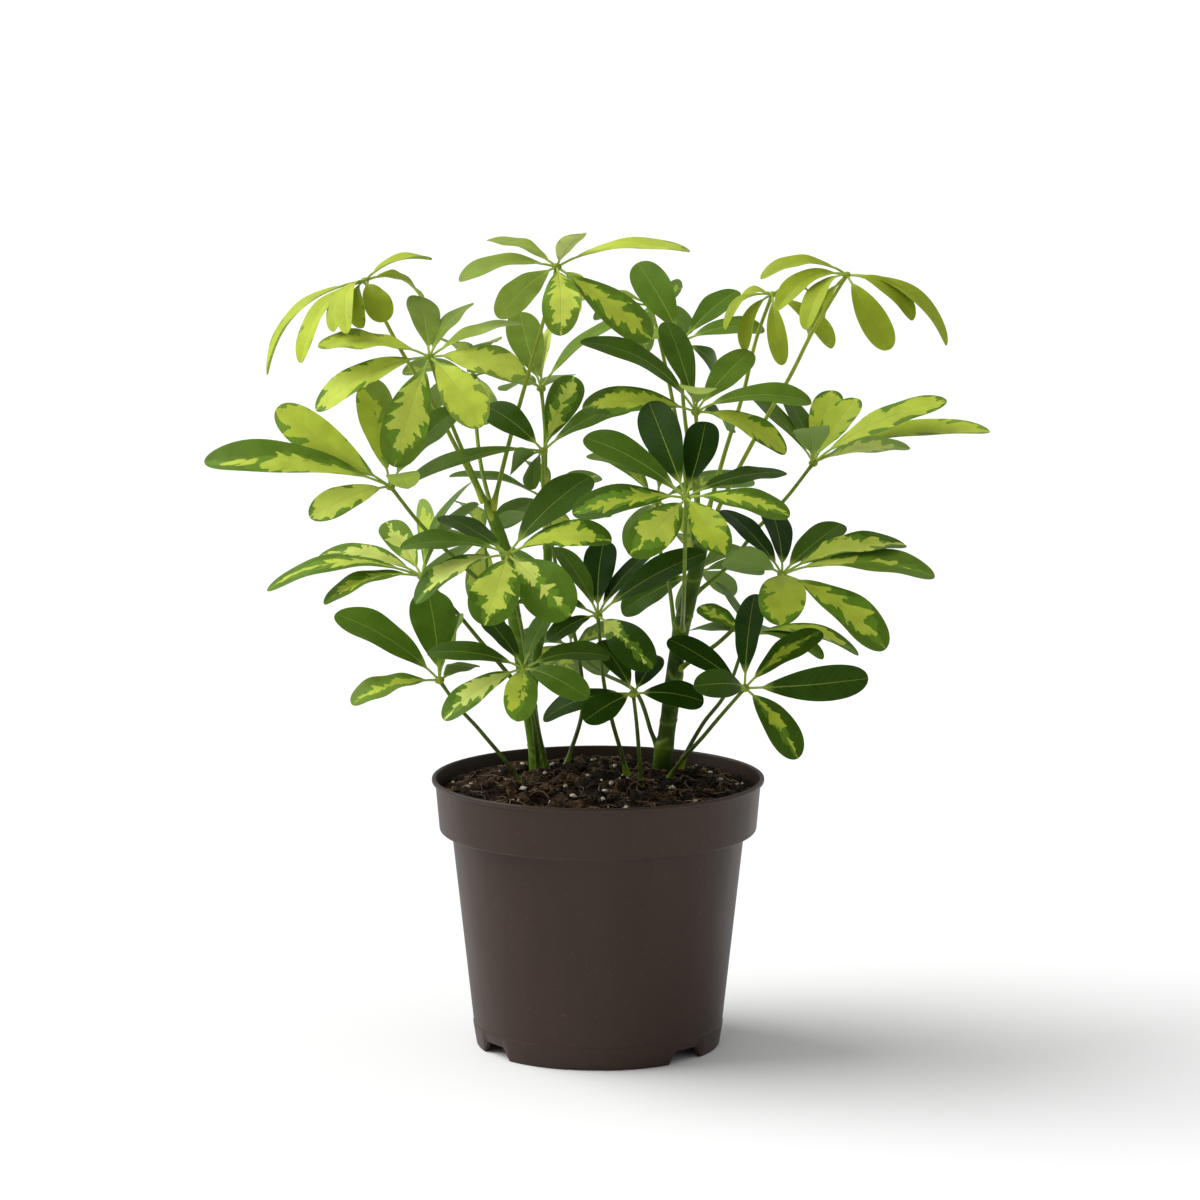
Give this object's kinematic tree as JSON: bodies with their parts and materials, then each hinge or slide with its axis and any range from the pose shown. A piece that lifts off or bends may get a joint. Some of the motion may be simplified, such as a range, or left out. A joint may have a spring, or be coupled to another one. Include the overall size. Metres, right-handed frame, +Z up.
{
  "type": "potted umbrella plant",
  "caption": "Umbrella plant with variegated leaflets spread like umbrella ribs on long stalks, on green stems in a round soil-filled nursery pot.",
  "frame": {"origin": "on the ground, below the middle of the whole plant seen from above", "axes": "+Z up along the stems, +X to the right and -Y to the front of the picture view"},
  "size_m": [0.397, 0.2656, 0.4208],
  "materials": {
    "pot": "satin moulded polypropylene, taupe brown",
    "soil": "peat and bark mix with white perlite",
    "stems": "green bark with leaf scars",
    "leaves": "glossy dark green blades with yellow-green variegation",
    "young_leaves": "soft satin pale yellow-green blades"
  },
  "bodies": {
    "root": {"pot": "pot", "soil": "soil", "stem_left": "stems", "stem_middle": "stems", "stem_right": "stems", "leaf_young_left": "young_leaves", "leaf_upper_left": "leaves", "leaf_upper_left_back": "leaves", "leaf_crown_top": "leaves", "leaf_crown_back": "leaves", "leaf_upper_right": "leaves", "leaf_upper_right_back": "leaves", "leaf_crown_far": "leaves", "leaf_young_small": "young_leaves", "leaf_young_right": "young_leaves", "leaf_right_upper": "leaves", "leaf_left_upper": "leaves", "leaf_middle_upper": "leaves", "leaf_middle_back": "leaves", "leaf_left_lower": "leaves", "leaf_front_left": "leaves", "leaf_front_right": "leaves", "leaf_right_middle": "leaves", "leaf_middle_dark": "leaves", "leaf_low_middle": "leaves", "leaf_low_front": "leaves", "leaf_low_left": "leaves", "leaf_low_right": "leaves", "leaf_low_right_back": "leaves", "leaf_right_far": "leaves", "leaf_middle_far": "leaves", "leaf_left_far": "leaves", "leaf_low_far": "leaves"}
  },
  "joints": []
}
